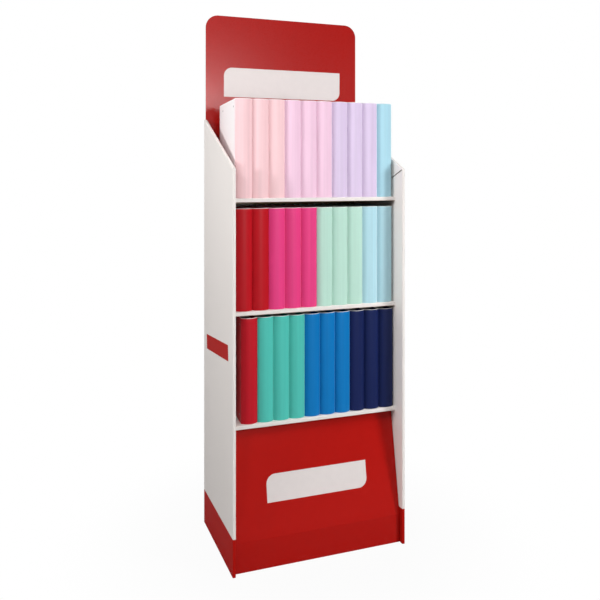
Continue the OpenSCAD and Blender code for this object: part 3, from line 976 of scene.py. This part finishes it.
class STAND_OT_add_rivets(bpy.types.Operator):
    """Models the rivets of each row with domed heads, in place of their solids"""

    bl_idname = "stand.add_rivets"
    bl_label = "Add rivets"

    def execute(self, context):
        finish = plated_finish("rivet_plating", context.scene.stand_metal.rivet, 0.3)
        for row in ROWS:
            heights = (RIVET_INSET, row_height(row) - RIVET_INSET)
            backs = {PLATE_SET: COVER_T + PLATE_T}
            if row == "top":
                backs[REAR_RIVET_BACK] = COVER_T
            parts = []
            for back, through in backs.items():
                places = [
                    on_left_cover(node, back, 0) @ Matrix.Translation((0, 0, z))
                    for node in binder_nodes(row)
                    for z in heights
                ]
                parts.append((rivet_mesh(through), places))
            add_piece(f"{row}_rivets", gather(parts), [finish], [f"rivets_{row}"])
        return {"FINISHED"}


def lay_floor(studio):
    """A round floor just under the stand, so that the two never lie in one plane."""
    mesh = bmesh.new()
    bmesh.ops.create_circle(mesh, cap_ends=True, segments=FLOOR_SIDES, radius=studio.floor_r)
    bmesh.ops.translate(mesh, verts=mesh.verts, vec=(0, 0, -FLOOR_GAP))
    data = bpy.data.meshes.new("studio_floor")
    mesh.to_mesh(data)
    mesh.free()
    data.materials.append(floor_finish(studio))
    floor = bpy.data.objects.new("studio_floor", data)
    bpy.context.scene.collection.objects.link(floor)


def hang_lamp(name, power):
    """Hangs one of the soft lamps in its place, facing its point."""
    size, place, target = LAMPS[name]
    lamp = bpy.data.lights.new(f"{name}_lamp", "AREA")
    lamp.energy, lamp.shape, lamp.size, lamp.size_y = power, "RECTANGLE", size[0], size[1]
    held = bpy.data.objects.new(f"{name}_lamp", lamp)
    bpy.context.scene.collection.objects.link(held)
    held.location = place
    held.visible_camera = False
    held.rotation_euler = (Vector(target) - Vector(place)).to_track_quat("-Z", "Y").to_euler()
    return held


def light_sky(studio):
    """Soft light from all round, which the camera sees as white and gloss sees dark in front."""
    world = bpy.data.worlds.new("studio_world")
    bpy.context.scene.world = world
    world.use_nodes = True
    sky = Nodes(world.node_tree)
    _, away, up = sky.apart(sky.node("ShaderNodeTexCoord", out="Generated"))
    rays = ("Is Camera Ray", "Is Transmission Ray", "Is Glossy Ray")
    seen, clear, glossy = sky.node("ShaderNodeLightPath", out=rays)
    plain = seen | clear | glossy * away.rises(-0.6, 0.1)
    level = up.rises(-0.3, 0.8) * studio.sky + studio.ambient
    level = level * (1 - glossy * (1 - studio.dark))
    soft = sky.node("ShaderNodeBackground", None, {"Color": (1, 1, 1), "Strength": level})
    white = sky.node("ShaderNodeBackground", None, {"Color": (1, 1, 1), "Strength": 1.0})
    both = sky.node("ShaderNodeMixShader", None, {0: plain, 1: soft, 2: white})
    sky.node("ShaderNodeOutputWorld", None, {"Surface": both}, out=())


def place_camera():
    """A level camera, whose lens shift keeps the stand's upright lines upright."""
    lens = bpy.data.cameras.new("camera")
    lens.sensor_width, lens.lens, lens.shift_y = 36, LENS, LENS_SHIFT
    camera = bpy.data.objects.new("camera", lens)
    bpy.context.scene.collection.objects.link(camera)
    camera.location = CAMERA_PLACE
    camera.rotation_euler = (math.pi / 2, 0, CAMERA_TURN)
    bpy.context.scene.camera = camera


class STAND_OT_set_studio(bpy.types.Operator):
    """Lays the floor, hangs the lamps and places the camera"""

    bl_idname = "stand.set_studio"
    bl_label = "Set the studio"

    def execute(self, context):
        studio = context.scene.stand_studio
        lay_floor(studio)
        lamps = {name: hang_lamp(name, getattr(studio, name)) for name in LAMPS}
        # Two lamps leave no glare, and a third gives nothing but shine
        lamps["key"].visible_glossy = lamps["near"].visible_glossy = False
        lamps["gloss"].visible_diffuse = False
        light_sky(studio)
        place_camera()
        context.scene.view_settings.view_transform = "Standard"
        return {"FINISHED"}


STEPS = (
    STAND_OT_print_board,
    STAND_OT_add_plates,
    STAND_OT_add_covers,
    STAND_OT_add_mechanisms,
    STAND_OT_add_rivets,
    STAND_OT_set_studio,
)
SETTINGS = {
    "stand_board": BoardSettings,
    "stand_binders": BinderSettings,
    "stand_metal": MetalSettings,
    "stand_studio": StudioSettings,
}


class STAND_PT_sidebar(bpy.types.Panel):
    """Steps and settings of the display stand"""

    bl_label = "Display stand"
    bl_idname = "STAND_PT_sidebar"
    bl_space_type = "VIEW_3D"
    bl_region_type = "UI"
    bl_category = "Stand"

    def draw(self, context):
        for step in STEPS:
            self.layout.operator(step.bl_idname)
        for name, kind in SETTINGS.items():
            box = self.layout.box()
            box.label(text=kind.__doc__)
            for key in kind.__annotations__:
                box.prop(getattr(context.scene, name), key)


def register():
    for kind in (*SETTINGS.values(), *STEPS, STAND_PT_sidebar):
        bpy.utils.register_class(kind)
    for name, kind in SETTINGS.items():
        setattr(bpy.types.Scene, name, PointerProperty(type=kind))


def unregister():
    for name in SETTINGS:
        delattr(bpy.types.Scene, name)
    for kind in reversed((*SETTINGS.values(), *STEPS, STAND_PT_sidebar)):
        bpy.utils.unregister_class(kind)


def main():
    register()
    bpy.ops.stand.print_board()
    bpy.ops.stand.add_plates()
    bpy.ops.stand.add_covers()
    bpy.ops.stand.add_mechanisms()
    bpy.ops.stand.add_rivets()
    bpy.ops.stand.set_studio()


if __name__ == "__main__":
    main()
